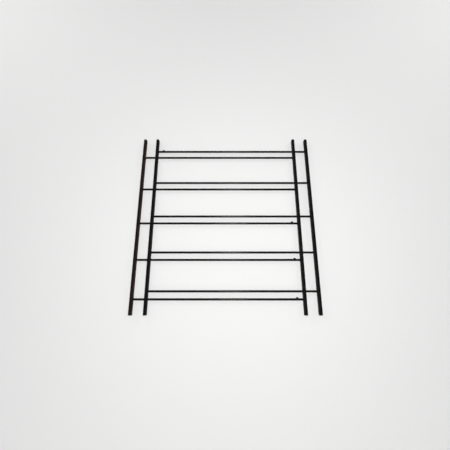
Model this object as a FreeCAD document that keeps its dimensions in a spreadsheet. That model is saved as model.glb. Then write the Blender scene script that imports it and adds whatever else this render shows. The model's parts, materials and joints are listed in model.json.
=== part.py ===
import FreeCAD, Part
import Sketcher
import os

# Adjustable window guard: two welded steel frames threaded through each other, so that its width can be set.
# Each frame is a ladder of two tube uprights and five round bars. The bars of one frame slide through holes
# in the inner upright of the other, and weld stops on some bars keep the frames from being drawn apart.
# X runs across the window, Y from the room side to the wall side and Z up. The origin is the middle of the
# guard, on the axes of the bars, at the width it is set to.

# Driving dimensions, in millimetres.
SIZES = {
    # upright tube: face width, depth, wall and outer corner radius
    "tube_width": 12.7,
    "tube_depth": 19.05,
    "tube_wall": 1.5,
    "tube_corner": 2.0,
    "upright_length": 816.0,
    # round bars: each pair has one bar of either frame
    "bar_diameter": 9.525,
    "pair_pitch": 165.1,
    "pair_spacing": 32.7,
    # one frame between its upright axes, and how far the right frame is drawn out of the left
    "frame_span": 723.9,
    "frame_stagger": 60.7,
    # radial play of a bar in the hole that it slides through
    "slide_clearance": 0.4,
    # weld stop on top of a bar, measured from the axis of the nearest upright of its own frame
    "stop_distance": 31.4,
    "stop_length": 9.5,
    "stop_width": 6.4,
    "stop_height": 3.8,
    # screw holes sideways through the outer uprights, measured from the tube ends
    "screw_hole": 7.0,
    "screw_inset": 28.0,
    # plastic plug in each tube end: its head, and the stem that fits the tube
    "plug_head": 2.5,
    "plug_head_edge": 0.9,
    "plug_stem": 12.0,
    "plug_clearance": 0.15,
}
PAIR_COUNT = 5
# Bars that carry a weld stop, counted from the top.
LEFT_FRAME_STOPPED = (3, 4, 5)
RIGHT_FRAME_STOPPED = (1,)

QUARTER_TURN = 90.0
HALF_TURN = 180.0
X_AXIS = FreeCAD.Vector(1, 0, 0)
Y_AXIS = FreeCAD.Vector(0, 1, 0)
Z_AXIS = FreeCAD.Vector(0, 0, 1)
# Places of the origin and of points in a sketch's constraints.
ORIGIN = -1
VERTICAL_AXIS = -2
START = 1
END = 2
CENTRE = 3
NEAR = 0.001

doc = FreeCAD.newDocument("WindowGuard")
sheet = doc.addObject("Spreadsheet::Sheet", "Sizes")
for row, (alias, value) in enumerate(SIZES.items(), start=1):
    sheet.set(f"A{row}", alias.replace("_", " "))
    sheet.set(f"B{row}", str(value))
    sheet.setAlias(f"B{row}", alias)
doc.recompute()

# Places and sizes that several pieces share, as expressions on the sheet.
LEFT_OUTER_X = "(-(Sizes.frame_span + Sizes.frame_stagger) / 2)"
LEFT_INNER_X = "(-(Sizes.frame_span - Sizes.frame_stagger) / 2)"
RIGHT_INNER_X = "((Sizes.frame_span - Sizes.frame_stagger) / 2)"
RIGHT_OUTER_X = "((Sizes.frame_span + Sizes.frame_stagger) / 2)"
HALF_TUBE = "(Sizes.tube_width / 2)"
TUBE_END = "(Sizes.upright_length / 2)"
BAR_RADIUS = "(Sizes.bar_diameter / 2)"
BAR_LENGTH = "(Sizes.frame_span - Sizes.tube_width)"
SLIDE_HOLE = "(Sizes.bar_diameter + 2 * Sizes.slide_clearance)"
CAVITY_WIDTH = "(Sizes.tube_width - 2 * Sizes.tube_wall)"
CAVITY_DEPTH = "(Sizes.tube_depth - 2 * Sizes.tube_wall)"
SCREW_HEIGHT = "(Sizes.upright_length / 2 - Sizes.screw_inset)"

sub_parts = []


def bar_height(pair, side):
    """Height of a bar's axis: pair counts from the top, side is +1 for the upper bar and -1 for the lower."""
    steps = (PAIR_COUNT + 1) / 2 - pair
    return f"({steps} * Sizes.pair_pitch + {side} * Sizes.pair_spacing / 2)"


def keep(piece, label):
    """Name a piece, which also names its file."""
    piece.Label = label
    sub_parts.append(piece)
    return piece


def place(piece, x="0", y="0", z="0", axis=Z_AXIS, angle=0.0):
    """Turn a piece and tie its place to the sheet."""
    piece.Placement = FreeCAD.Placement(FreeCAD.Vector(), FreeCAD.Rotation(axis, angle))
    for name, expression in (("x", x), ("y", y), ("z", z)):
        piece.setExpression(f".Placement.Base.{name}", expression)


def origin_feature(body, role):
    """The body's own origin plane or axis of that role."""
    return next(feature for feature in body.Origin.OriginFeatures if feature.Role == role)


def new_sketch(body, plane, name):
    sketch = body.newObject("Sketcher::SketchObject", name)
    sketch.AttachmentSupport = (origin_feature(body, plane), [""])
    sketch.MapMode = "FlatFace"
    return sketch


def tie(sketch, name, expression, constraint):
    """Add a dimension to a sketch and tie it to the sheet."""
    number = sketch.addConstraint(constraint)
    sketch.renameConstraint(number, name)
    sketch.setExpression(f"Constraints.{name}", expression)


def outline(sketch, corners):
    """Closed outline of straight lines, joined end to end."""
    first = sketch.GeometryCount
    count = len(corners)
    points = [FreeCAD.Vector(across, up, 0) for across, up in corners]
    for index in range(count):
        sketch.addGeometry(Part.LineSegment(points[index], points[(index + 1) % count]), False)
    for index in range(count):
        following = first + (index + 1) % count
        sketch.addConstraint(Sketcher.Constraint("Coincident", first + index, END, following, START))
    return first


def centred_rectangle(sketch, name, width, depth):
    """Rectangle about the sketch's origin."""
    half_width = sheet.evalExpression(width) / 2
    half_depth = sheet.evalExpression(depth) / 2
    first = outline(sketch, [
        (-half_width, -half_depth),
        (half_width, -half_depth),
        (half_width, half_depth),
        (-half_width, half_depth),
    ])
    for index, direction in enumerate(("Horizontal", "Vertical", "Horizontal", "Vertical")):
        sketch.addConstraint(Sketcher.Constraint(direction, first + index))
    sketch.addConstraint(Sketcher.Constraint("Symmetric", first, START, first + 2, START, ORIGIN, START))
    tie(sketch, f"{name}_width", width, Sketcher.Constraint("Distance", first, 2 * half_width))
    tie(sketch, f"{name}_depth", depth, Sketcher.Constraint("Distance", first + 1, 2 * half_depth))


def circle_on_axis(sketch, name, diameter, height):
    """Circle on the sketch's vertical axis, above its origin."""
    up = sheet.evalExpression(height)
    across = sheet.evalExpression(diameter)
    circle = Part.Circle(FreeCAD.Vector(0, up, 0), Z_AXIS, across / 2)
    number = sketch.addGeometry(circle, False)
    sketch.addConstraint(Sketcher.Constraint("PointOnObject", number, CENTRE, VERTICAL_AXIS))
    tie(sketch, f"{name}_height", height, Sketcher.Constraint("DistanceY", ORIGIN, START, number, CENTRE, up))
    tie(sketch, f"{name}_diameter", diameter, Sketcher.Constraint("Diameter", number, across))
    return number


def pad(body, sketch, name, length, side="One side", reverse=False):
    feature = body.newObject("PartDesign::Pad", name)
    feature.Profile = sketch
    feature.SideType = side
    feature.Reversed = reverse
    feature.setExpression("Length", length)
    doc.recompute()
    return feature


def drill(body, sketch, name):
    """Cut a sketch both ways through the body, and make sure that it took material away."""
    before = body.Shape.Volume
    feature = body.newObject("PartDesign::Pocket", name)
    feature.Profile = sketch
    feature.SideType = "Symmetric"
    feature.Type = "ThroughAll"
    doc.recompute()
    if body.Shape.Volume >= before:
        raise RuntimeError(f"{name} cuts nothing from {body.Label}")
    return feature


def repeat_down(body, feature, name, pitch, count):
    """Repeat a feature downwards at an even pitch."""
    pattern = body.newObject("PartDesign::LinearPattern", name)
    pattern.Originals = [feature]
    pattern.Direction = (origin_feature(body, "Z_Axis"), [""])
    pattern.Reversed = True
    pattern.Mode = "Spacing"
    pattern.Occurrences = count
    pattern.setExpression("Offset", pitch)
    body.Tip = pattern
    doc.recompute()
    return pattern


def dress_edges(body, feature, kind, name, size, expression, wanted):
    """Fillet or chamfer those edges of a feature that the test picks."""
    edges = [f"Edge{number}" for number, edge in enumerate(feature.Shape.Edges, start=1) if wanted(edge)]
    dressed = body.newObject(f"PartDesign::{kind}", name)
    dressed.Base = (feature, edges)
    dressed.setExpression(size, expression)
    doc.recompute()
    return dressed


def along_z_at(half_width):
    """Test for the straight upright edges at that distance either side of the middle."""
    def wanted(edge):
        low, high = edge.Vertexes[0].Point, edge.Vertexes[-1].Point
        upright = abs(low.x - high.x) < NEAR and abs(low.y - high.y) < NEAR
        return upright and abs(abs(low.x) - half_width) < NEAR
    return wanted


def at_height(height):
    """Test for the edges that lie level at that height."""
    def wanted(edge):
        return all(abs(vertex.Z - height) < NEAR for vertex in edge.Vertexes)
    return wanted


def round_corners(body, feature, name):
    """Round the four outer corners of a tube or of what is flush with it."""
    corner_edges = along_z_at(sheet.evalExpression(HALF_TUBE))
    return dress_edges(body, feature, "Fillet", name, "Radius", "Sizes.tube_corner", corner_edges)


def make_upright(label, x, slide_side=None, screw_holes=False):
    """Tube upright, with holes for the other frame's bars or with screw holes."""
    body = keep(doc.addObject("PartDesign::Body", label), label)
    place(body, x=x)
    section = new_sketch(body, "XY_Plane", f"{label}_section")
    centred_rectangle(section, "outer", "Sizes.tube_width", "Sizes.tube_depth")
    centred_rectangle(section, "inner", CAVITY_WIDTH, CAVITY_DEPTH)
    tube = pad(body, section, f"{label}_tube", "Sizes.upright_length", side="Symmetric")
    round_corners(body, tube, f"{label}_corners")
    if slide_side is not None:
        hole = new_sketch(body, "YZ_Plane", f"{label}_slide_hole")
        circle_on_axis(hole, "slide_hole", SLIDE_HOLE, bar_height(1, slide_side))
        cut = drill(body, hole, f"{label}_slide_cut")
        repeat_down(body, cut, f"{label}_slide_holes", "Sizes.pair_pitch", PAIR_COUNT)
    if screw_holes:
        hole = new_sketch(body, "YZ_Plane", f"{label}_screw_hole")
        upper = circle_on_axis(hole, "screw_hole", "Sizes.screw_hole", SCREW_HEIGHT)
        centre = FreeCAD.Vector(0, -sheet.evalExpression(SCREW_HEIGHT), 0)
        lower = hole.addGeometry(Part.Circle(centre, Z_AXIS, sheet.screw_hole / 2), False)
        hole.addConstraint(Sketcher.Constraint("Equal", upper, lower))
        hole.addConstraint(Sketcher.Constraint("Symmetric", upper, CENTRE, lower, CENTRE, ORIGIN, START))
        drill(body, hole, f"{label}_screw_holes")


def make_plug(label, x, top):
    """Plastic plug whose head closes a tube end."""
    body = keep(doc.addObject("PartDesign::Body", label), label)
    if top:
        place(body, x=x, z=TUBE_END)
    else:
        place(body, x=x, z=f"-{TUBE_END}", axis=X_AXIS, angle=HALF_TURN)
    face = new_sketch(body, "XY_Plane", f"{label}_face")
    centred_rectangle(face, "face", "Sizes.tube_width", "Sizes.tube_depth")
    head = pad(body, face, f"{label}_head", "Sizes.plug_head")
    corners = round_corners(body, head, f"{label}_corners")
    rim_edges = at_height(sheet.plug_head)
    dress_edges(body, corners, "Chamfer", f"{label}_edge", "Size", "Sizes.plug_head_edge", rim_edges)
    core = new_sketch(body, "XY_Plane", f"{label}_core")
    play = "2 * Sizes.plug_clearance"
    centred_rectangle(core, "core", f"{CAVITY_WIDTH} - {play}", f"{CAVITY_DEPTH} - {play}")
    pad(body, core, f"{label}_stem", "Sizes.plug_stem", reverse=True)


def make_bar(label, left_x, pair, side):
    """Round bar that butts against the facing sides of its frame's two uprights."""
    bar = keep(doc.addObject("Part::Cylinder", label), label)
    bar.setExpression("Radius", BAR_RADIUS)
    bar.setExpression("Height", BAR_LENGTH)
    place(bar, x=f"{left_x} + {HALF_TUBE}", z=bar_height(pair, side), axis=Y_AXIS, angle=QUARTER_TURN)
    return bar


def make_stop(name, x, pair, side, bar):
    """Weld stop: a short run of weld laid along the top of its bar."""
    run = doc.addObject("Part::Cylinder", f"{name}_run")
    run.setExpression("Radius", "Sizes.stop_width / 2")
    run.setExpression("Height", "Sizes.stop_length")
    crown = f"{bar_height(pair, side)} + {BAR_RADIUS} + Sizes.stop_height"
    start = f"{x} - Sizes.stop_length / 2"
    place(run, x=start, z=f"{crown} - Sizes.stop_width / 2", axis=Y_AXIS, angle=QUARTER_TURN)
    stop = doc.addObject("Part::Cut", name)
    stop.Base = run
    stop.Tool = bar
    return stop


def make_frame(frame, left_x, side, stopped, stop_x):
    """Bars and stops of one frame, whose left upright stands at left_x."""
    bars = {}
    for pair in range(1, PAIR_COUNT + 1):
        bars[pair] = make_bar(f"{frame}_bar_{pair}", left_x, pair, side)
    stops = [make_stop(f"{frame}_stop_{pair}", stop_x, pair, side, bars[pair]) for pair in stopped]
    group = doc.addObject("Part::Compound", f"{frame}_stops")
    group.Links = stops
    keep(group, f"{frame}_stops")


# The outer uprights are screwed to the sides of the window opening, and the inner ones let the other
# frame's bars through.
make_upright("left_outer_upright", LEFT_OUTER_X, screw_holes=True)
make_upright("left_inner_upright", LEFT_INNER_X, slide_side=-1)
make_upright("right_inner_upright", RIGHT_INNER_X, slide_side=1)
make_upright("right_outer_upright", RIGHT_OUTER_X, screw_holes=True)

UPRIGHTS = {
    "left_outer": LEFT_OUTER_X,
    "left_inner": LEFT_INNER_X,
    "right_inner": RIGHT_INNER_X,
    "right_outer": RIGHT_OUTER_X,
}
for upright, upright_x in UPRIGHTS.items():
    make_plug(f"{upright}_top_plug", upright_x, top=True)
    make_plug(f"{upright}_bottom_plug", upright_x, top=False)

# The left frame holds the lower bar of each pair and the right frame the upper one.
LEFT_STOP_X = f"{RIGHT_INNER_X} - Sizes.stop_distance"
RIGHT_STOP_X = f"{LEFT_INNER_X} + Sizes.stop_distance"
make_frame("left_frame", LEFT_OUTER_X, -1, LEFT_FRAME_STOPPED, LEFT_STOP_X)
make_frame("right_frame", LEFT_INNER_X, 1, RIGHT_FRAME_STOPPED, RIGHT_STOP_X)

doc.recompute()
for item in doc.Objects:
    if "Invalid" in item.State or "Error" in item.State:
        raise RuntimeError(f"{item.Label} failed to compute")
for piece in sub_parts:
    if piece.Shape.isNull() or not piece.Shape.isValid():
        raise RuntimeError(f"{piece.Label} has no valid shape")

os.makedirs("parts", exist_ok=True)
for piece in sub_parts:
    piece.Shape.exportStep(f"parts/{piece.Label}.step")
    box = piece.Shape.BoundBox
    extent = f"{box.XLength:.2f} x {box.YLength:.2f} x {box.ZLength:.2f} mm"
    print(f"{piece.Label}: {len(piece.Shape.Solids)} solids, {piece.Shape.Volume:.1f} mm3, {extent}")
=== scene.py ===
# %% [markdown]
# # A window grille whose width slides
# The object is a black steel window grille: two welded ladders, each of two tube uprights and five round
# bars, threaded through each other so that one slides sideways in the other.
# A CAD model already holds every piece at its real size. This lesson loads that model as a fixed frame and
# dresses it: tubes with softened edges, weld beads, plastic end plugs, enamel, a pale stage and a camera.
# Everything is in metres. X runs across the window, Y from the room to the wall, and Z up.

# %% Load the frame
import json
import math
import random

import bmesh
import bpy
from bmesh.types import BMEdge, BMFace, BMVert
from mathutils import Matrix, Vector


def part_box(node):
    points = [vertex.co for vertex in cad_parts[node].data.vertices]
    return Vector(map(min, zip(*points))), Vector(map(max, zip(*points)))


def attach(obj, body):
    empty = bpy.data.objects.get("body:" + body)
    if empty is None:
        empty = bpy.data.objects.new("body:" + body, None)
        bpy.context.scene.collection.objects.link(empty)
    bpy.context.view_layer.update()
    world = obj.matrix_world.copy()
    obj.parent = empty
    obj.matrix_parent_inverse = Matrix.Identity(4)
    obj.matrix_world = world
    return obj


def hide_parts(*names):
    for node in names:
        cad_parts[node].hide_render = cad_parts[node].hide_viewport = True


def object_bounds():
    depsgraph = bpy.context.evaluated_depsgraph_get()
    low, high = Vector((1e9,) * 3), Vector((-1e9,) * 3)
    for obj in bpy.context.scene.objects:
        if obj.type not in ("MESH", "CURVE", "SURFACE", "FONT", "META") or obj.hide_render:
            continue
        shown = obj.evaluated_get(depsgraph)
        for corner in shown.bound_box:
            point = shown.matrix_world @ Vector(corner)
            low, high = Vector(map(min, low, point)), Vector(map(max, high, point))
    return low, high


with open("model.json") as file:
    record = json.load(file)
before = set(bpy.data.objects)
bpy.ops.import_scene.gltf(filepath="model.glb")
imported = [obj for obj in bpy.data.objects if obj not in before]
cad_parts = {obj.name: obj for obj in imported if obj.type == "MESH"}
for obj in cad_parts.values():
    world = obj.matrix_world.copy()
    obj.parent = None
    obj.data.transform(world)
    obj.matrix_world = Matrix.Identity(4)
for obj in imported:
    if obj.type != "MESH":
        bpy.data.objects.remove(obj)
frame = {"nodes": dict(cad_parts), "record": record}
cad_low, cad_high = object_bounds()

print("overall size:", [round(side, 4) for side in cad_high - cad_low])

# %% [markdown]
# ## Measures that come from the frame
# A piece that is typed in twice drifts apart, so places are read from the CAD model: where each upright
# stands, how high each bar lies, how thick it is, and where the screw holes are.
# Only what the boxes of the nodes can't tell, such as the tube's wall, is written down here.

# %% Read the frame's measures
UPRIGHTS = {
    "left_outer": "left_frame",
    "left_inner": "right_frame",
    "right_inner": "left_frame",
    "right_outer": "right_frame",
}
BAR_NUMBERS = range(1, 6)
TUBE_WALL = 0.0015
TUBE_CORNER = 0.002
SLIDE_PLAY = 0.0004
MM_PER_METRE = 1000


def middle(node):
    """Centre of a CAD node's box."""
    low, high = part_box(node)
    return (low + high) / 2


def extent(node):
    """Lengths of a CAD node's box along X, Y and Z."""
    low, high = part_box(node)
    return high - low


tube_width, tube_depth, tube_length = extent("left_outer_upright")
bar_radius = extent("left_frame_bar_1").z / 2
bar_heights = {
    body: [middle(f"{body}_bar_{number}").z for number in BAR_NUMBERS]
    for body in ("left_frame", "right_frame")
}
upright_places = {name: middle(f"{name}_upright").x for name in UPRIGHTS}
screw_row = next(mount for mount in frame["record"]["mounts"] if mount["kind"] == "bolt_pattern")["dims"]
screw_radius = screw_row["hole_r_mm"] / MM_PER_METRE
screw_height = screw_row["spacing_y_mm"] / MM_PER_METRE / 2
print("tube:", round(tube_width, 4), "by", round(tube_depth, 4), "bar radius:", round(bar_radius, 5))
print("uprights at:", {name: round(x, 4) for name, x in upright_places.items()})

# %% [markdown]
# ## Building blocks for materials
# A material is a small network of nodes. Each helper below adds a node, feeds its sockets and hands back
# what it puts out, all in one call, which keeps the networks readable.
# All patterns read Object coordinates. Every piece sits at the origin with its place in its mesh, so those
# coordinates are metres in the grille's own frame, and a pattern keeps its real scale on every piece.

# %% Helpers that add a node


def feed(tree, socket, value):
    """Give a socket a link from another socket, or a fixed value."""
    if isinstance(value, bpy.types.NodeSocket):
        tree.links.new(value, socket)
    else:
        socket.default_value = value


def add_node(tree, kind, sockets=(), **settings):
    """New node of a kind, with its settings and what its sockets are fed."""
    node = tree.nodes.new(kind)
    for name, value in settings.items():
        setattr(node, name, value)
    for name, value in dict(sockets).items():
        feed(tree, node.inputs[name], value)
    return node


# %% Helpers for patterns and groups


def noise(tree, vector, scale, detail=2.0):
    """Soft random pattern, between 0 and 1."""
    sockets = {"Vector": vector, "Scale": scale, "Detail": detail}
    return add_node(tree, "ShaderNodeTexNoise", sockets).outputs["Fac"]


def ramp(tree, value, low, high, to_low=0.0, to_high=1.0):
    """Value stretched smoothly from one span to another."""
    sockets = {"Value": value, "From Min": low, "From Max": high, "To Min": to_low, "To Max": to_high}
    return add_node(tree, "ShaderNodeMapRange", sockets, interpolation_type="SMOOTHSTEP").outputs["Result"]


def math_node(tree, operation, first, second):
    """One sum of two values."""
    node = add_node(tree, "ShaderNodeMath", operation=operation)
    feed(tree, node.inputs[0], first)
    feed(tree, node.inputs[1], second)
    return node.outputs["Value"]


def new_group(name, inputs, outputs):
    """Empty shader group with its sockets. Returns the group, its input sockets and its result sockets."""
    group = bpy.data.node_groups.new(name, "ShaderNodeTree")
    for label, kind in inputs.items():
        group.interface.new_socket(label, in_out="INPUT", socket_type=kind)
    for label, kind in outputs.items():
        group.interface.new_socket(label, in_out="OUTPUT", socket_type=kind)
    given = group.nodes.new("NodeGroupInput").outputs
    return group, given, group.nodes.new("NodeGroupOutput").inputs


# %% [markdown]
# ## The skin of brushed enamel
# Enamel on steel is never a perfect mirror. It dries with a faint orange peel about a millimetre across,
# over longer waves, and hands leave patches that shine a little less. Dust that settled in the wet paint is
# left as fine grey specks. All the painted pieces share this, so it is one group: it gives a height for a
# Bump node, a roughness and a mask of the specks.

# %% Enamel skin group
VALUE = "NodeSocketFloat"
VECTOR = "NodeSocketVector"
WAVE_SCALE = 70.0
PATCH_SCALE = 22.0
PATCH_SPAN = (0.35, 0.7)
SPECK_SCALE = 1500.0
SPECK_SPAN = (0.64, 0.74)

enamel_skin, given, result = new_group(
    "enamel_skin",
    {"Vector": VECTOR, "Peel": VALUE, "Smooth": VALUE, "Dull": VALUE},
    {"Height": VALUE, "Roughness": VALUE, "Specks": VALUE},
)
peel = noise(enamel_skin, given["Vector"], given["Peel"], detail=1.0)
waves = noise(enamel_skin, given["Vector"], WAVE_SCALE, detail=1.0)
feed(enamel_skin, result["Height"], math_node(enamel_skin, "ADD", peel, waves))
patches = noise(enamel_skin, given["Vector"], PATCH_SCALE, detail=4.0)
gloss_drift = ramp(enamel_skin, patches, *PATCH_SPAN, given["Smooth"], given["Dull"])
feed(enamel_skin, result["Roughness"], gloss_drift)
settled = noise(enamel_skin, given["Vector"], SPECK_SCALE, detail=1.0)
feed(enamel_skin, result["Specks"], ramp(enamel_skin, settled, *SPECK_SPAN))
print("group:", enamel_skin.name, "with", len(enamel_skin.nodes), "nodes")

# %% [markdown]
# ## Where paint is thin
# Paint pulls back from a punched edge, so the rim of a hole and the end of a tube show a broken line of
# steel, and the tube's corners pick up a nick here and there. The pieces carry an attribute named worn, which
# is 1 on rims, less on corners and 0 elsewhere. The group adds noise to it and keeps what passes a threshold,
# so a lower value gives fewer and smaller nicks, and not fainter ones.
# Where a bar slides in its hole, the hole also rubs long fine streaks into the paint. The second group draws
# them: noise stretched along X, kept to a short reach either side of the hole.

# %% Group for worn edges
BREAK_SCALE = 480.0
BARE_SPAN = (1.46, 1.58)

worn_edges, given, result = new_group("worn_edges", {"Vector": VECTOR, "Worn": VALUE}, {"Bare": VALUE})
breaks = noise(worn_edges, given["Vector"], BREAK_SCALE, detail=3.0)
exposed = math_node(worn_edges, "ADD", breaks, given["Worn"])
feed(worn_edges, result["Bare"], ramp(worn_edges, exposed, *BARE_SPAN))
print("group:", worn_edges.name)

# %% Group for rubbed bars
RUBBED_CORE = 0.15
STREAK_STRETCH = (0.02, 1.0, 1.0)
STREAK_SCALE = 900.0
STREAK_SPAN = (0.52, 0.68)

slide_rub, given, result = new_group(
    "slide_rub",
    {"Vector": VECTOR, "Hole": VALUE, "Reach": VALUE},
    {"Rubbed": VALUE},
)
along_bar = add_node(slide_rub, "ShaderNodeSeparateXYZ", {"Vector": given["Vector"]}).outputs["X"]
off_hole = math_node(slide_rub, "ABSOLUTE", math_node(slide_rub, "SUBTRACT", along_bar, given["Hole"]), 0.0)
share_of_reach = math_node(slide_rub, "DIVIDE", off_hole, given["Reach"])
near_hole = ramp(slide_rub, share_of_reach, RUBBED_CORE, 1.0, 1.0, 0.0)
stretching = {"Vector": given["Vector"], "Scale": STREAK_STRETCH}
stretched = add_node(slide_rub, "ShaderNodeMapping", stretching).outputs["Vector"]
streaks = ramp(slide_rub, noise(slide_rub, stretched, STREAK_SCALE, detail=3.0), *STREAK_SPAN)
feed(slide_rub, result["Rubbed"], math_node(slide_rub, "MULTIPLY", streaks, near_hole))
print("group:", slide_rub.name)

# %% [markdown]
# ## Enamel on tubes, bars and welds
# One function paints all the steel, because the paint is the same. What differs is told to it: the colour,
# how rough the metal below is, how much it shines, and what shows where the paint is gone. Paint flows out
# to a better shine on the bars, which are drawn smooth, than on the tubes and welds.
# The black isn't pure: its colour drifts a little from place to place.

# %% Helpers for materials
# A Mix node has sockets for every kind of data. These are the places of the ones for colours.
MIX_FACTOR = 0
MIX_FIRST = 6
MIX_SECOND = 7
MIX_RESULT = 2


def group_node(tree, group, sockets):
    """A shader group placed in a material."""
    return add_node(tree, "ShaderNodeGroup", sockets, node_tree=group).outputs


def mix_colours(tree, factor, first, second):
    """Blend of two colours, each a socket or a fixed colour."""
    node = add_node(tree, "ShaderNodeMix", data_type="RGBA")
    feed(tree, node.inputs[MIX_FACTOR], factor)
    feed(tree, node.inputs[MIX_FIRST], first)
    feed(tree, node.inputs[MIX_SECOND], second)
    return node.outputs[MIX_RESULT]


def relief(tree, height, depth):
    """Direction of a surface that a pattern raises by up to a depth."""
    sockets = {"Strength": 1.0, "Distance": depth, "Height": height}
    return add_node(tree, "ShaderNodeBump", sockets).outputs["Normal"]


def new_material(name):
    """Empty material. Returns it with its node tree and its surface shader."""
    material = bpy.data.materials.new(name)
    material.use_nodes = True
    return material, material.node_tree, material.node_tree.nodes["Principled BSDF"]


def object_place(tree):
    """Object coordinates."""
    return add_node(tree, "ShaderNodeTexCoord").outputs["Object"]


# %% Paint one kind of piece
RUBBED_STEEL = (0.075, 0.072, 0.069, 1.0)
EDGE_STEEL = (0.16, 0.155, 0.15, 1.0)
DUST_GREY = (0.02, 0.0198, 0.0195, 1.0)
STEEL_METALLIC = 0.8
RUB_REACH = 0.09
DRIFT_SCALE = 9.0
DRIFT_SPAN = (0.3, 0.7)


def enamel(name, black, drift, peel_scale, peel_depth, gloss, shine, hole=None):
    """Black enamel. hole is the X of the hole that the piece slides in, if it does."""
    material, tree, shader = new_material(name)
    place = object_place(tree)
    smooth, dull = gloss
    skin_sockets = {"Vector": place, "Peel": peel_scale, "Smooth": smooth, "Dull": dull}
    skin = group_node(tree, enamel_skin, skin_sockets)
    if hole is None:
        worn = add_node(tree, "ShaderNodeAttribute", attribute_name="worn").outputs["Fac"]
        bare = group_node(tree, worn_edges, {"Vector": place, "Worn": worn})["Bare"]
        steel = EDGE_STEEL
    else:
        bare = group_node(tree, slide_rub, {"Vector": place, "Hole": hole, "Reach": RUB_REACH})["Rubbed"]
        steel = RUBBED_STEEL
    tone = ramp(tree, noise(tree, place, DRIFT_SCALE, detail=3.0), *DRIFT_SPAN)
    paint = mix_colours(tree, skin["Specks"], mix_colours(tree, tone, black, drift), DUST_GREY)
    feed(tree, shader.inputs["Base Color"], mix_colours(tree, bare, paint, steel))
    feed(tree, shader.inputs["Metallic"], math_node(tree, "MULTIPLY", bare, STEEL_METALLIC))
    feed(tree, shader.inputs["Roughness"], skin["Roughness"])
    feed(tree, shader.inputs["Normal"], relief(tree, skin["Height"], peel_depth))
    shader.inputs["Specular IOR Level"].default_value = shine
    return material


# %% Enamel materials
BLACK = (0.0025, 0.0025, 0.0027, 1.0)
SOOTY_BLACK = (0.0045, 0.0044, 0.0044, 1.0)
# Painted reflection: this warm brown black stands in for a warm room mirrored in the left outer tube.
REFLECTED_WARM_BLACK = (0.0105, 0.0050, 0.0045, 1.0)
REFLECTED_BROWN_BLACK = (0.0172, 0.0079, 0.0070, 1.0)
TUBE_FINISH = {"peel_scale": 850.0, "peel_depth": 0.000012, "gloss": (0.48, 0.62), "shine": 0.055}
WELD_FINISH = {"peel_scale": 600.0, "peel_depth": 0.00005, "gloss": (0.28, 0.45), "shine": 0.1}
BAR_FINISH = {"peel_scale": 850.0, "peel_depth": 0.000008, "gloss": (0.15, 0.2), "shine": 0.15}

tube_enamel = enamel("tube_enamel", BLACK, SOOTY_BLACK, **TUBE_FINISH)
# Enamel of the left outer tube, with the painted reflection of a warm room in its colour.
reflection_tinted_tube_enamel = enamel("reflection_tinted_tube_enamel", REFLECTED_WARM_BLACK, REFLECTED_BROWN_BLACK, **TUBE_FINISH)
weld_enamel = enamel("weld_enamel", BLACK, SOOTY_BLACK, **WELD_FINISH)
bar_enamels = {}
for side in ("left", "right"):
    slide_hole = upright_places[f"{side}_inner"]
    bar_paint = enamel(f"{side}_bar_enamel", BLACK, SOOTY_BLACK, hole=slide_hole, **BAR_FINISH)
    bar_enamels[f"{side}_frame"] = bar_paint
print("materials:", [material.name for material in bpy.data.materials if "enamel" in material.name])

# %% [markdown]
# ## Plastic of the end plugs
# The plugs are moulded polyethylene: black, without the sheen of paint, and with the fine even grain of a
# spark-eroded mould.

# %% Plug plastic
PLASTIC_BLACK = (0.0055, 0.0055, 0.006, 1.0)
PLASTIC_GREY = (0.009, 0.009, 0.0095, 1.0)
CLOUD_SCALE = 160.0
CLOUD_SPAN = (0.35, 0.65)
GRAIN_SCALE = 2600.0
GRAIN_SPAN = (0.3, 0.7)
GRAIN_DEPTH = 0.00003
PLUG_GLOSS = (0.45, 0.6)
PLUG_SHINE = 0.25

plug_plastic, tree, shader = new_material("plug_plastic")
place = object_place(tree)
grain = noise(tree, place, GRAIN_SCALE)
clouds = ramp(tree, noise(tree, place, CLOUD_SCALE), *CLOUD_SPAN)
feed(tree, shader.inputs["Base Color"], mix_colours(tree, clouds, PLASTIC_BLACK, PLASTIC_GREY))
feed(tree, shader.inputs["Roughness"], ramp(tree, grain, *GRAIN_SPAN, *PLUG_GLOSS))
feed(tree, shader.inputs["Normal"], relief(tree, grain, GRAIN_DEPTH))
shader.inputs["Specular IOR Level"].default_value = PLUG_SHINE
print("material:", plug_plastic.name)

# %% [markdown]
# ## From a bmesh to a piece
# Every new piece ends in the same way: its mesh is given to an object at the origin, shaded smooth except
# across sharp edges, and told which body it moves with, and the CAD nodes that it stands for are hidden.
# A Weighted Normal modifier lets the large flat faces keep their own direction, so that a flat wall next to
# a rounded corner doesn't look swollen.

# %% Helper that finishes a piece
SHARP_ANGLE = math.radians(40)


def finish_piece(bm, name, body, material, stands_for=()):
    """Make a piece of the object from a bmesh, which is used up."""
    mesh = bpy.data.meshes.new(name)
    bm.to_mesh(mesh)
    bm.free()
    mesh.materials.append(material)
    mesh.shade_smooth()
    mesh.set_sharp_from_angle(angle=SHARP_ANGLE)
    piece = bpy.data.objects.new(name, mesh)
    bpy.context.scene.collection.objects.link(piece)
    even = piece.modifiers.new("even_shading", "WEIGHTED_NORMAL")
    even.keep_sharp = True
    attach(piece, body)
    if stands_for:
        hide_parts(*stands_for)
    print(name, "rides on", body, "with", len(mesh.polygons), "faces")
    return piece


# %% [markdown]
# ## Uprights of rectangular tube
# An upright is a length of welded tube with rounded corners. Each is drilled from side to side: the inner
# ones for the other frame's bars, and the outer ones for the screws that hold the grille in a window
# opening.
# A boolean cut would leave ragged faces round each hole. Instead the skin is drawn up level by level, a
# square patch of it is opened at each hole, and a circle is bridged to the patch, so every hole is ringed by
# clean quads. The circle is bridged from in front of the wall and pressed back into it: between two loops in
# one plane, the bridge can't tell which way round to go. Solidify then gives the skin its wall, and a bevel
# softens the rims.

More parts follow.
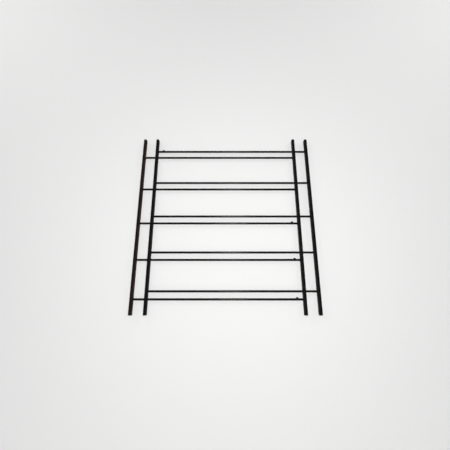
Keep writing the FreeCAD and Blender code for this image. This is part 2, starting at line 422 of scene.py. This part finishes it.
# %% Helpers for modelling
NEAR = 1e-5


def only(geom, kind):
    """The vertices, the edges or the faces among what an operator made."""
    return [item for item in geom if isinstance(item, kind)]


def soften(bm, geom, size, steps, affect="EDGES"):
    """Round off edges, or the corners of a flat face."""
    return bmesh.ops.bevel(
        bm,
        geom=geom,
        offset=size,
        offset_type="OFFSET",
        affect=affect,
        segments=steps,
        profile=0.5,
        material=-1,
    )


# %% Draw up a skin from a rounded outline
CORNER_STEPS = 6
HOLE_STEPS = 12


def rounded_outline(bm, width, depth, corner):
    """Flat face about the origin: a rectangle with round corners."""
    sheet = bmesh.ops.create_grid(bm, x_segments=1, y_segments=1, size=0.5)["verts"]
    bmesh.ops.scale(bm, vec=(width, depth, 1.0), verts=sheet)
    soften(bm, sheet, corner, CORNER_STEPS, affect="VERTICES")
    return next(iter(bm.faces))


def drawn_skin(levels):
    """Open skin of a tube, with a ring of edges at each level. The sides facing X are divided for holes."""
    bm = bmesh.new()
    face = rounded_outline(bm, tube_width, tube_depth, TUBE_CORNER)
    bmesh.ops.delete(bm, geom=[face], context="FACES_ONLY")
    half = tube_width / 2
    sides = [edge for edge in bm.edges if all(abs(abs(vert.co.x) - half) < NEAR for vert in edge.verts)]
    bmesh.ops.subdivide_edges(bm, edges=sides, cuts=HOLE_STEPS - 1)
    bmesh.ops.translate(bm, vec=(0.0, 0.0, levels[0]), verts=bm.verts[:])
    ring = bm.edges[:]
    for low, high in zip(levels, levels[1:]):
        grown = bmesh.ops.extrude_edge_only(bm, edges=ring)["geom"]
        ring = only(grown, BMEdge)
        bmesh.ops.translate(bm, vec=(0.0, 0.0, high - low), verts=only(grown, BMVert))
    return bm


# %% Open a hole in a skin
RIM_BAND = 0.0007


def open_hole(bm, side, height, radius, patch):
    """Replace a square patch of one side by a ring of faces round a hole. side is -1 or 1, along X."""
    centre = Vector((side * tube_width / 2, 0.0, height))

    def in_patch(point):
        return abs(point.x - centre.x) < NEAR and abs(point.z - height) < patch + NEAR

    flat = [face for face in bm.faces if in_patch(face.calc_center_median())]
    bmesh.ops.delete(bm, geom=flat, context="FACES")
    outline = [edge for edge in bm.edges if edge.is_boundary and all(in_patch(v.co) for v in edge.verts)]
    lift = Vector((side * radius, 0.0, 0.0))
    facing = Matrix.Rotation(math.pi / 2, 4, "Y")
    circle = bmesh.ops.create_circle(
        bm,
        cap_ends=False,
        radius=radius + RIM_BAND,
        segments=len(outline),
        matrix=Matrix.Translation(centre + lift) @ facing,
    )["verts"]
    ring = list(dict.fromkeys(edge for vert in circle for edge in vert.link_edges))
    bmesh.ops.bridge_loops(bm, edges=outline + ring)
    bmesh.ops.translate(bm, vec=-lift, verts=circle)
    rim = only(bmesh.ops.extrude_edge_only(bm, edges=ring)["geom"], BMVert)
    shrink = radius / (radius + RIM_BAND)
    bmesh.ops.scale(bm, vec=(shrink, shrink, shrink), space=Matrix.Translation(-centre), verts=rim)


# %% Build the four uprights
RIM_ROUNDING = 0.0004
RIM_STEPS = 3
CORNER_WEAR = 0.81
RIM_WEAR = 1.0


def hole_levels(heights, patch):
    """Heights of the rings of edges: a band at each end, and an even division of each hole's patch."""
    end = tube_length / 2
    levels = {-end, RIM_BAND - end, end - RIM_BAND, end}
    for height in heights:
        for step in range(HOLE_STEPS + 1):
            levels.add(height - patch + 2 * patch * step / HOLE_STEPS)
    return sorted(levels)


def make_upright(name, heights, radius, material):
    """Tube upright with holes right through it from side to side."""
    patch = tube_depth / 2 - TUBE_CORNER
    bm = drawn_skin(hole_levels(heights, patch))
    for height in heights:
        for side in (-1, 1):
            open_hole(bm, side, height, radius, patch)
    worn = bm.verts.layers.float.new("worn")
    bmesh.ops.recalc_face_normals(bm, faces=bm.faces[:])
    bm.normal_update()
    rims = [edge for edge in bm.edges if edge.is_boundary]
    bmesh.ops.solidify(bm, geom=bm.faces[:], thickness=TUBE_WALL)
    softened = soften(bm, rims, RIM_ROUNDING, RIM_STEPS)
    for vert in bm.verts:
        past_corner = min(abs(vert.co.x) - tube_width / 2, abs(vert.co.y) - tube_depth / 2) + TUBE_CORNER
        vert[worn] = CORNER_WEAR if past_corner > TUBE_CORNER / 2 else 0.0
    for vert in softened["verts"]:
        vert[worn] = RIM_WEAR
    bmesh.ops.translate(bm, vec=(upright_places[name], 0.0, 0.0), verts=bm.verts[:])
    return finish_piece(bm, f"{name}_tube", UPRIGHTS[name], material, [f"{name}_upright"])


slide_radius = bar_radius + SLIDE_PLAY
screw_heights = [-screw_height, screw_height]
# The left outer tube takes the black with the painted reflection of a warm room.
make_upright("left_outer", screw_heights, screw_radius, reflection_tinted_tube_enamel)
make_upright("left_inner", bar_heights["left_frame"], slide_radius, tube_enamel)
make_upright("right_inner", bar_heights["right_frame"], slide_radius, tube_enamel)
make_upright("right_outer", screw_heights, screw_radius, tube_enamel)

# %% [markdown]
# ## End plugs
# Each tube end is closed by a pushed-in plug: a head flush with the tube, softened round its rim and very
# slightly crowned, over a stem that grips inside. The stem can't be seen, but the piece is modelled whole, as
# it would look in the hand.
# The head grows from the same rounded outline as the tube, so the two always match.

# %% Helpers that grow a face


def face_height(face):
    """Height of the middle of a face."""
    return face.calc_center_median().z


def top_face(bm):
    """The highest face."""
    return max(bm.faces, key=face_height)


def lowest_face(bm):
    """The lowest face."""
    return min(bm.faces, key=face_height)


def grow(bm, face, distance):
    """Extrude a face along Z, and not leave it behind inside. Returns the face at the new end."""
    grown = bmesh.ops.extrude_face_region(bm, geom=[face] + face.edges[:] + face.verts[:])["geom"]
    bmesh.ops.translate(bm, vec=(0.0, 0.0, distance), verts=only(grown, BMVert))
    return only(grown, BMFace)[0]


# %% Shape a plug's head, crown and stem
PLUG_RIM = 0.0008
PLUG_RIM_STEPS = 4
PLUG_CROWN = 0.0003
CROWN_STEPS = ((0.82, 0.5), (0.6, 0.8), (0.3, 1.0))
STEM_PLAY = 0.00015
STEM_TAPER = 0.95


def add_head(bm, height):
    """Tube's outline drawn up to a height, closed below and softened round its upper rim."""
    grow(bm, rounded_outline(bm, tube_width, tube_depth, TUBE_CORNER), height)
    bmesh.ops.contextual_create(bm, geom=[edge for edge in bm.edges if edge.is_boundary])
    bmesh.ops.recalc_face_normals(bm, faces=bm.faces[:])
    soften(bm, top_face(bm).edges[:], PLUG_RIM, PLUG_RIM_STEPS)


def crown_head(bm):
    """Raise the top in steps. Each step gives its share of the width and of the crown's height."""
    base = face_height(top_face(bm))
    last_share = 1.0
    for share, rise in CROWN_STEPS:
        top = grow(bm, top_face(bm), base + rise * PLUG_CROWN - face_height(top_face(bm)))
        bmesh.ops.scale(bm, vec=(share / last_share, share / last_share, 1.0), verts=top.verts[:])
        last_share = share


def add_stem(bm, length):
    """Stem below the head, inside the tube's wall and narrower towards its tip."""
    bmesh.ops.inset_region(bm, faces=[lowest_face(bm)], thickness=TUBE_WALL + STEM_PLAY, depth=0.0)
    tip = grow(bm, lowest_face(bm), -length)
    bmesh.ops.scale(bm, vec=(STEM_TAPER, STEM_TAPER, 1.0), verts=tip.verts[:])


# %% Build the eight plugs


def make_plug(name, end, body):
    """Plug of one tube end."""
    node = f"{name}_{end}_plug"
    low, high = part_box(node)
    head = max(abs(low.z), abs(high.z)) - tube_length / 2
    bm = bmesh.new()
    add_head(bm, head - PLUG_CROWN)
    crown_head(bm)
    add_stem(bm, high.z - low.z - head)
    bmesh.ops.translate(bm, vec=(0.0, 0.0, tube_length / 2), verts=bm.verts[:])
    if end == "bottom":
        upside_down = Matrix.Rotation(math.pi, 3, "X")
        bmesh.ops.rotate(bm, cent=(0.0, 0.0, 0.0), matrix=upside_down, verts=bm.verts[:])
    bmesh.ops.translate(bm, vec=(upright_places[name], 0.0, 0.0), verts=bm.verts[:])
    return finish_piece(bm, f"{name}_{end}_cap", body, plug_plastic, [node])


for upright, upright_body in UPRIGHTS.items():
    for tube_end in ("top", "bottom"):
        make_plug(upright, tube_end, upright_body)

# %% [markdown]
# ## Bars
# The bars are drawn round steel, and the CAD bars have exactly that shape, so they stay as they are and only
# take the enamel with the rub marks of the hole that they slide in.

# %% Paint the bars
for frame_body in bar_heights:
    for number in BAR_NUMBERS:
        frame["nodes"][f"{frame_body}_bar_{number}"].data.materials[0] = bar_enamels[frame_body]
print("bars painted:", len(bar_heights) * len(BAR_NUMBERS))

# %% [markdown]
# ## Weld beads
# Each bar end is welded all round to the side of its upright. A hand-laid fillet weld is a bead that bulges a
# little, ripples where the pool froze, and has a lump where it was started.
# The bead's section is a few points, spun once round the bar. The ripples are then pressed in by moving the
# spun points outwards or inwards from the corner that the weld fills.

# %% Section and ripples of a weld
WELD_LEG = 0.0023
WELD_BULGE = 0.00035
WELD_SINK = 0.0003
WELD_SECTION_STEPS = 6
RIPPLE_COUNT = 19
RIPPLE_DEPTH = 0.05
RIPPLE_BEND = 1.6
RIPPLE_DRIFT = 0.9
DRIFT_WAVES = 3
PAIRED_SHARE = 0.4
PAIRED_WAVES = 2
UNEVEN_LEG = 0.07
START_LUMP = 0.1
START_WIDTH = 0.35


def weld_section():
    """Outline of the weld, as distances along the bar and out from its surface."""
    points = []
    for step in range(WELD_SECTION_STEPS + 1):
        share = step / WELD_SECTION_STEPS
        bulge = WELD_BULGE * 4 * share * (1 - share)
        points.append((WELD_LEG * share + bulge, WELD_LEG * (1 - share) + bulge))
    return points + [(WELD_LEG, -WELD_SINK), (-WELD_SINK, -WELD_SINK), (-WELD_SINK, WELD_LEG)]


def swelling(turn, slant, start):
    """How much the weld swells at an angle round the bar. slant runs from -1 to 1 across the bead."""
    drift = RIPPLE_DRIFT * math.sin(DRIFT_WAVES * turn + start)
    pace = RIPPLE_COUNT * turn + drift + RIPPLE_BEND * slant * slant
    paired = PAIRED_SHARE * math.sin(PAIRED_WAVES * turn + start) * math.sin(pace / 2)
    ripple = RIPPLE_DEPTH * (math.sin(pace) + paired)
    uneven = UNEVEN_LEG * math.sin(turn + 2 * start)
    from_start = (turn - start + math.pi) % (2 * math.pi) - math.pi
    lump = START_LUMP * math.exp(-((from_start / START_WIDTH) ** 2))
    return 1 + ripple + uneven + lump


# %% Lay one fillet weld
WELD_TURN_STEPS = 132


def lay_ring_weld(bm, face_x, height, lead, start):
    """Weld round a bar's end, from the tube's face along the bar. lead is 1 or -1, the way the bar leaves."""
    before = set(bm.verts)
    corners = [bm.verts.new((along, 0.0, bar_radius + out)) for along, out in weld_section()]
    loop = [bm.edges.new((corners[index - 1], corners[index])) for index in range(len(corners))]
    bmesh.ops.spin(
        bm,
        geom=corners + loop,
        cent=(0.0, 0.0, 0.0),
        axis=(1.0, 0.0, 0.0),
        angle=2 * math.pi,
        steps=WELD_TURN_STEPS,
        use_merge=True,
    )
    made = [vert for vert in bm.verts if vert not in before]
    for vert in made:
        spoke = Vector((0.0, vert.co.y, vert.co.z))
        along = max(vert.co.x, 0.0)
        out = max(spoke.length - bar_radius, 0.0)
        growth = swelling(math.atan2(spoke.z, spoke.y), (along - out) / WELD_LEG, start) - 1
        vert.co += Vector((along * growth, 0.0, 0.0)) + spoke.normalized() * out * growth
    if lead < 0:
        bmesh.ops.rotate(bm, cent=(0.0, 0.0, 0.0), matrix=Matrix.Rotation(math.pi, 3, "Z"), verts=made)
    bmesh.ops.translate(bm, vec=(face_x, 0.0, height), verts=made)


# %% Weld every bar to its two uprights
WELD_SEED = 7
SEAM = 1e-6


def lead_of_bars(upright):
    """1 where the bars leave an upright towards +X, and -1 where they leave it towards -X."""
    frame_places = [upright_places[name] for name, body in UPRIGHTS.items() if body == UPRIGHTS[upright]]
    return 1 if upright_places[upright] == min(frame_places) else -1


draws = random.Random(WELD_SEED)
for upright, upright_body in UPRIGHTS.items():
    lead = lead_of_bars(upright)
    bm = bmesh.new()
    for bar_height in bar_heights[upright_body]:
        start_turn = draws.uniform(-math.pi, math.pi)
        lay_ring_weld(bm, upright_places[upright] + lead * tube_width / 2, bar_height, lead, start_turn)
    bmesh.ops.remove_doubles(bm, verts=bm.verts[:], dist=SEAM)
    bmesh.ops.recalc_face_normals(bm, faces=bm.faces[:])
    finish_piece(bm, f"{upright}_welds", upright_body, weld_enamel)

# %% [markdown]
# ## Weld stops
# A few bars carry a short run of weld on top, which stops the frames from being pulled apart. It is three or
# four dabs laid in a row, so it is modelled as a flattened ball, drawn out along the bar and rippled.
# The CAD model gives each stop's place and length, and its lower half is sunk in the bar. The dabs are
# heaped a little higher and wider than the plain CAD stop.

# %% Lay one stop
STOP_ROUND_STEPS = 48
STOP_LENGTH_STEPS = 32
STOP_SINK = 0.0009
STOP_RISE = 0.0009
STOP_SPREAD = 1.15
STOP_SQUARENESS = 0.55
STOP_FULLNESS = 0.72
STOP_DABS = 3.0
DAB_DEPTH = 0.085
DAB_CURVE = 1.4
DAB_FADE = 4


def fuller(share, power):
    """Distance from the middle, as a share, pushed outwards by a power under 1."""
    return math.copysign(abs(share) ** power, share)


def lay_stop(bm, centre_x, bar_top, size, phase):
    """One rippled run of weld on top of a bar. size is its length, width and height over the bar."""
    dabs = bmesh.ops.create_uvsphere(
        bm,
        u_segments=STOP_ROUND_STEPS,
        v_segments=STOP_LENGTH_STEPS,
        radius=1.0,
    )["verts"]
    bmesh.ops.rotate(bm, cent=(0.0, 0.0, 0.0), matrix=Matrix.Rotation(math.pi / 2, 3, "Y"), verts=dabs)
    half = Vector((size.x / 2, STOP_SPREAD * size.y / 2, size.z + STOP_RISE + STOP_SINK))
    for vert in dabs:
        drawn_out = fuller(vert.co.x, STOP_SQUARENESS)
        dab = math.cos(STOP_DABS * math.pi * drawn_out + DAB_CURVE * vert.co.y ** 2 + phase)
        ripple = 1 - DAB_DEPTH * (1 - dab) / 2 * (1 - drawn_out ** DAB_FADE)
        across = fuller(vert.co.y, STOP_FULLNESS) * half.y * ripple
        vert.co = Vector((drawn_out * half.x, across, fuller(vert.co.z, STOP_FULLNESS) * half.z * ripple))
    bmesh.ops.translate(bm, vec=(centre_x, 0.0, bar_top - STOP_SINK), verts=dabs)


# %% Build the stops
STOPS = {"left_frame": (3, 4, 5), "right_frame": (1,)}

for frame_body, numbers in STOPS.items():
    node = f"{frame_body}_stops"
    low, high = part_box(node)
    bar_tops = [bar_heights[frame_body][number - 1] + bar_radius for number in numbers]
    size = Vector((high.x - low.x, high.y - low.y, high.z - bar_tops[0]))
    bm = bmesh.new()
    for bar_top in bar_tops:
        lay_stop(bm, middle(node).x, bar_top, size, draws.uniform(-math.pi, math.pi))
    bmesh.ops.recalc_face_normals(bm, faces=bm.faces[:])
    finish_piece(bm, f"{frame_body}_stop_welds", frame_body, weld_enamel, [node])

# %% [markdown]
# ## A pale stage
# The grille is seen against a pale surface close behind it, as if it lay on a floor and were seen from above.
# The stage is a floor far below that sweeps up into a wall, and that also runs on behind it. Seen from behind
# the wall is clear, so that the grille can be looked at from every side.
# Its colour is lifted a little for what the camera sees, which keeps it pale without more light on the
# grille.

# %% Sweep the floor up into a wall
WALL_GAP = 0.0006
STAGE_HALF = 20.0
STAGE_DROP = 1.3
STAGE_COVE = 0.38
COVE_STEPS = 24

wall_y = cad_high.y + WALL_GAP
bm = bmesh.new()
line = [
    bm.verts.new((-STAGE_HALF, -STAGE_HALF, -STAGE_DROP)),
    bm.verts.new((-STAGE_HALF, wall_y, -STAGE_DROP)),
    bm.verts.new((-STAGE_HALF, wall_y, STAGE_HALF)),
]
rails = [bm.edges.new(line[:2]), bm.edges.new(line[1:])]
far_side = only(bmesh.ops.extrude_edge_only(bm, edges=rails)["geom"], BMVert)
bmesh.ops.translate(bm, vec=(2 * STAGE_HALF, 0.0, 0.0), verts=far_side)
soften(bm, [edge for edge in bm.edges if len(edge.link_faces) == 2], STAGE_COVE, COVE_STEPS)
bm.normal_update()
if max(bm.faces, key=lambda face: abs(face.normal.z)).normal.z < 0:
    bmesh.ops.reverse_faces(bm, faces=bm.faces[:])
print("stage: wall at y", round(wall_y, 4), "floor at z", -STAGE_DROP)

# %% Run the floor on behind and add the stage
bmesh.ops.create_grid(
    bm,
    x_segments=1,
    y_segments=1,
    size=STAGE_HALF,
    matrix=Matrix.Translation((0.0, STAGE_HALF + wall_y - STAGE_COVE, -STAGE_DROP)),
)
stage_mesh = bpy.data.meshes.new("stage")
bm.to_mesh(stage_mesh)
bm.free()
stage_mesh.shade_smooth()
stage = bpy.data.objects.new("stage", stage_mesh)
bpy.context.scene.collection.objects.link(stage)
stage.visible_shadow = False
print("stage faces:", len(stage_mesh.polygons))

# %% Paint the stage
STAGE_TONE = (0.91, 0.905, 0.895, 1.0)
STAGE_ROUGHNESS = 0.9
STAGE_LIFT = 0.45
WHITE = (1.0, 1.0, 1.0, 1.0)


def seen_rays(tree):
    """1 for a ray that shows what it meets, straight, mirrored or through glass, and 0 for the rest."""
    rays = add_node(tree, "ShaderNodeLightPath").outputs
    seen = math_node(tree, "MAXIMUM", rays["Is Camera Ray"], rays["Is Glossy Ray"])
    return math_node(tree, "MAXIMUM", seen, rays["Is Transmission Ray"])


def mix_shaders(tree, factor, first, second):
    """Blend of two shaders."""
    node = add_node(tree, "ShaderNodeMixShader", {"Fac": factor})
    tree.links.new(first, node.inputs[1])
    tree.links.new(second, node.inputs[2])
    return node.outputs["Shader"]


stage_paper, tree, shader = new_material("stage_paper")
stage_mesh.materials.append(stage_paper)
shader.inputs["Base Color"].default_value = STAGE_TONE
shader.inputs["Roughness"].default_value = STAGE_ROUGHNESS
shader.inputs["Specular IOR Level"].default_value = 0.0
glow = add_node(tree, "ShaderNodeEmission", {"Color": WHITE, "Strength": 1.0}).outputs["Emission"]
clear = add_node(tree, "ShaderNodeBsdfTransparent").outputs["BSDF"]
behind = add_node(tree, "ShaderNodeNewGeometry").outputs["Backfacing"]
paper_lift = math_node(tree, "MULTIPLY", seen_rays(tree), STAGE_LIFT)
paper = mix_shaders(tree, paper_lift, shader.outputs["BSDF"], glow)
tree.links.new(mix_shaders(tree, behind, paper, clear), tree.nodes["Material Output"].inputs["Surface"])
print("material:", stage_paper.name)

# %% [markdown]
# ## Light
# The room is lit softly from all round. It looks paler than the light that it gives, so that the grille has
# a pale background from behind too. A small soft lamp beside the camera puts the bright spot in the middle
# of every bar. Two wide ones, high up on either side, lay a faint shadow below each bar: they stand so far
# out that the bars don't mirror them to the camera. One behind gives the back its own shine.

# %% Light the room
WORLD_TONE = (0.97, 0.985, 1.0, 1.0)
WORLD_STRENGTH = 0.26
WORLD_LIFT = 0.34

world = bpy.data.worlds.new("room")
world.use_nodes = True
tree = world.node_tree
sky = tree.nodes["Background"]
sky.inputs["Color"].default_value = WORLD_TONE
room_lift = math_node(tree, "MULTIPLY", seen_rays(tree), WORLD_LIFT)
tree.links.new(math_node(tree, "ADD", room_lift, WORLD_STRENGTH), sky.inputs["Strength"])
bpy.context.scene.world = world
print("room light:", WORLD_STRENGTH)

# %% Set the lamps
LAMPS = {
    "camera_side_lamp": {"place": (0.07, -1.25, -0.2), "size": 0.26, "power": 9.4},
    "left_high_lamp": {"place": (-1.7, -1.1, 1.5), "size": 0.9, "power": 9.0},
    "right_high_lamp": {"place": (1.7, -1.1, 1.5), "size": 0.9, "power": 9.0},
    "back_lamp": {"place": (0.9, 1.7, 1.0), "size": 1.8, "power": 14.0},
}


def soft_lamp(name, place, size, power):
    """Round area lamp that points at the middle of the grille, which is the origin."""
    lamp = bpy.data.lights.new(name, "AREA")
    lamp.shape = "DISK"
    lamp.size = size
    lamp.energy = power
    holder = bpy.data.objects.new(name, lamp)
    holder.location = place
    holder.rotation_euler = (-Vector(place)).to_track_quat("-Z", "Y").to_euler()
    bpy.context.scene.collection.objects.link(holder)


for lamp_name, setting in LAMPS.items():
    soft_lamp(lamp_name, **setting)
print("lamps:", list(LAMPS))

# %% [markdown]
# ## Camera
# The photograph was taken from above the lower end of the grille as it lay on a floor. In the grille's own
# frame that is a camera in front of it, near its lower end, that looks up a little.

# %% Place the camera
CAMERA_PLACE = (-0.00175, -1.1691, -0.3553)
CAMERA_PITCH = math.radians(15.826)
LENS_MM = 21.6
SENSOR_MM = 36.0

camera_data = bpy.data.cameras.new("camera")
camera_data.lens = LENS_MM
camera_data.sensor_width = SENSOR_MM
camera = bpy.data.objects.new("camera", camera_data)
camera.location = CAMERA_PLACE
camera.rotation_euler = (math.pi / 2 + CAMERA_PITCH, 0.0, 0.0)
bpy.context.scene.collection.objects.link(camera)
bpy.context.scene.camera = camera
bpy.context.scene.view_settings.view_transform = "Standard"
print("camera at", CAMERA_PLACE)
